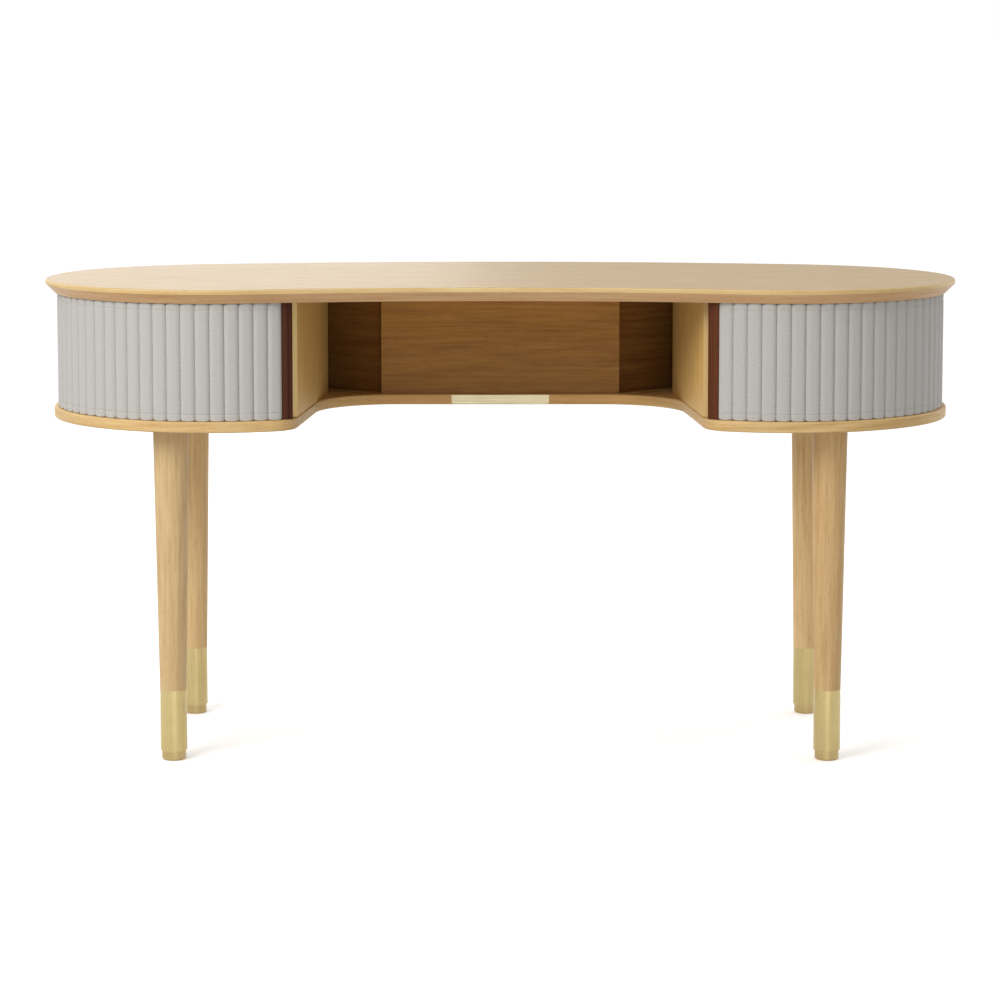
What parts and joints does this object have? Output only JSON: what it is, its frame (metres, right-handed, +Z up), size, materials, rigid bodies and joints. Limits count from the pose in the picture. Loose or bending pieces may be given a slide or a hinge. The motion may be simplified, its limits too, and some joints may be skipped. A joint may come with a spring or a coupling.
{
  "type": "tambour desk",
  "caption": "Bean-shaped oak writing desk with fabric tambour curtains that slide round storage pods at both ends, a deep knee space, and turned legs with brass ferrules and levelling feet.",
  "frame": {"origin": "floor level under the middle of the desk's outline", "axes": "+X to the right along the desk's width, +Y from the knee space to the back, +Z up"},
  "size_m": [1.46, 0.6259, 0.75],
  "materials": {
    "oak_top": "pale oak veneer, matt lacquer",
    "oak_edge": "solid oak, matt lacquer",
    "oak_base": "oak veneer, matt lacquer",
    "oak_panel": "oak veneer, matt lacquer",
    "oak_liner": "bent oak plywood",
    "oak_leg": "turned oak, matt lacquer",
    "grey_wool": "woven wool over slats",
    "dark_walnut": "dark stained hardwood",
    "canvas": "cotton canvas",
    "beech": "plain beech",
    "brass": "satin brass tube",
    "brass_foot": "turned brass",
    "pale_brass": "satin brass plate, bare",
    "zinc_steel": "zinc-plated steel"
  },
  "bodies": {
    "desk": {"desk_top": "oak_top", "top_edge_lipping": "oak_edge", "base_panel": "oak_base", "front_plate": "pale_brass", "left_divider": "oak_panel", "right_divider": "oak_panel", "centre_panel": "oak_panel", "rear_panel": "oak_panel", "left_recess_wall": "oak_panel", "right_recess_wall": "oak_panel", "left_pod_liner": "oak_liner", "right_pod_liner": "oak_liner", "panel_dowels": "beech", "foot_inserts": "zinc_steel", "leg_hanger_bolts": "zinc_steel", "leg_tee_nuts": "zinc_steel", "front_left_leg": "oak_leg", "front_left_ferrule": "brass", "front_right_leg": "oak_leg", "front_right_ferrule": "brass", "rear_left_leg": "oak_leg", "rear_left_ferrule": "brass", "rear_right_leg": "oak_leg", "rear_right_ferrule": "brass"},
    "left_tambour": {"left_tambour_slats": "grey_wool", "left_lead_slat": "dark_walnut", "left_tambour_canvas": "canvas"},
    "right_tambour": {"right_tambour_slats": "grey_wool", "right_lead_slat": "dark_walnut", "right_tambour_canvas": "canvas"},
    "front_left_leveller": {"front_left_foot": "brass_foot"},
    "front_right_leveller": {"front_right_foot": "brass_foot"},
    "rear_left_leveller": {"rear_left_foot": "brass_foot"},
    "rear_right_leveller": {"rear_right_foot": "brass_foot"}
  },
  "joints": [
    {"name": "left_tambour_track", "type": "hinge", "parent": "desk", "child": "left_tambour", "pos_m": [-0.45, -0.033, 0.637], "axis": [0, 0, -1], "range_deg": [0, 79]},
    {"name": "right_tambour_track", "type": "hinge", "parent": "desk", "child": "right_tambour", "pos_m": [0.45, -0.033, 0.637], "axis": [0, 0, 1], "range_deg": [0, 79]},
    {"name": "front_left_leveller_thread", "type": "slide", "parent": "desk", "child": "front_left_leveller", "axis": [0, 0, -1], "range_m": [0, 0.008]},
    {"name": "front_right_leveller_thread", "type": "slide", "parent": "desk", "child": "front_right_leveller", "axis": [0, 0, -1], "range_m": [0, 0.008]},
    {"name": "rear_left_leveller_thread", "type": "slide", "parent": "desk", "child": "rear_left_leveller", "axis": [0, 0, -1], "range_m": [0, 0.008]},
    {"name": "rear_right_leveller_thread", "type": "slide", "parent": "desk", "child": "rear_right_leveller", "axis": [0, 0, -1], "range_m": [0, 0.008]}
  ]
}
